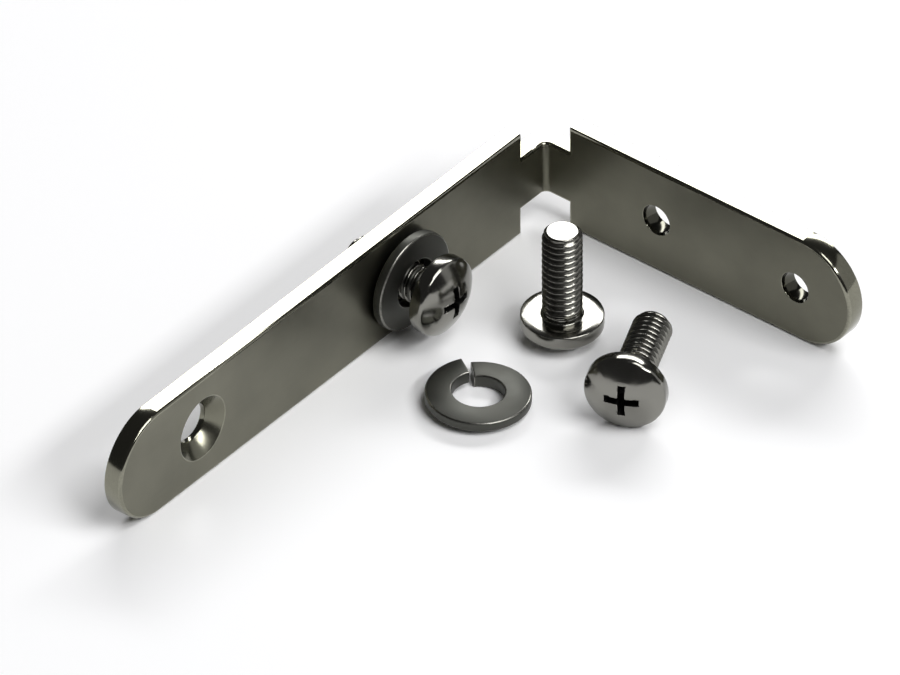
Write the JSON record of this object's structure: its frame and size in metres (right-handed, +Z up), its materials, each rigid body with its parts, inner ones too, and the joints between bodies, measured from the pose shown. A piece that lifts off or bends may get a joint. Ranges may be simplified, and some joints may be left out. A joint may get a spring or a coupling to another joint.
{
  "type": "handle profile corner bracket",
  "caption": "Right-angle bracket of bent flat steel strip with round ends, a notched bend and screw holes in both arms, with pan head screws and split spring washers.",
  "frame": {"origin": "middle of the box round all the pieces, on the floor that they stand on", "axes": "+X along the short arm away from the bend, -Y along the long arm away from the bend, +Z up the strip's width"},
  "size_m": [0.0434, 0.0678, 0.0128],
  "materials": {
    "strip": "satin nickel plate on cold-rolled strip",
    "fasteners": "bright plated"
  },
  "bodies": {
    "bracket": {"bracket": "strip"},
    "mounted_washer": {"mounted_washer": "fasteners"},
    "mounted_screw": {"mounted_screw": "fasteners"},
    "standing_screw": {"standing_screw": "fasteners"},
    "lying_screw": {"lying_screw": "fasteners"},
    "loose_washer": {"loose_washer": "fasteners"}
  },
  "joints": [
    {"name": "screw_turn", "type": "hinge", "parent": "bracket", "child": "mounted_washer", "pos_m": [-0.01585, 0.0097, 0.006], "axis": [1, 0, 0], "continuous": true},
    {"name": "screw_slide", "type": "slide", "parent": "mounted_washer", "child": "mounted_screw", "axis": [1, 0, 0], "range_m": [-0.002, 0.0056]},
    {"name": "standing_screw_lift", "type": "slide", "parent": "bracket", "child": "standing_screw", "axis": [0, 0, 1], "range_m": [0, 0.02]},
    {"name": "lying_screw_lift", "type": "slide", "parent": "bracket", "child": "lying_screw", "axis": [0, 0, 1], "range_m": [0, 0.02]},
    {"name": "loose_washer_lift", "type": "slide", "parent": "bracket", "child": "loose_washer", "axis": [0, 0, 1], "range_m": [0, 0.02]}
  ]
}
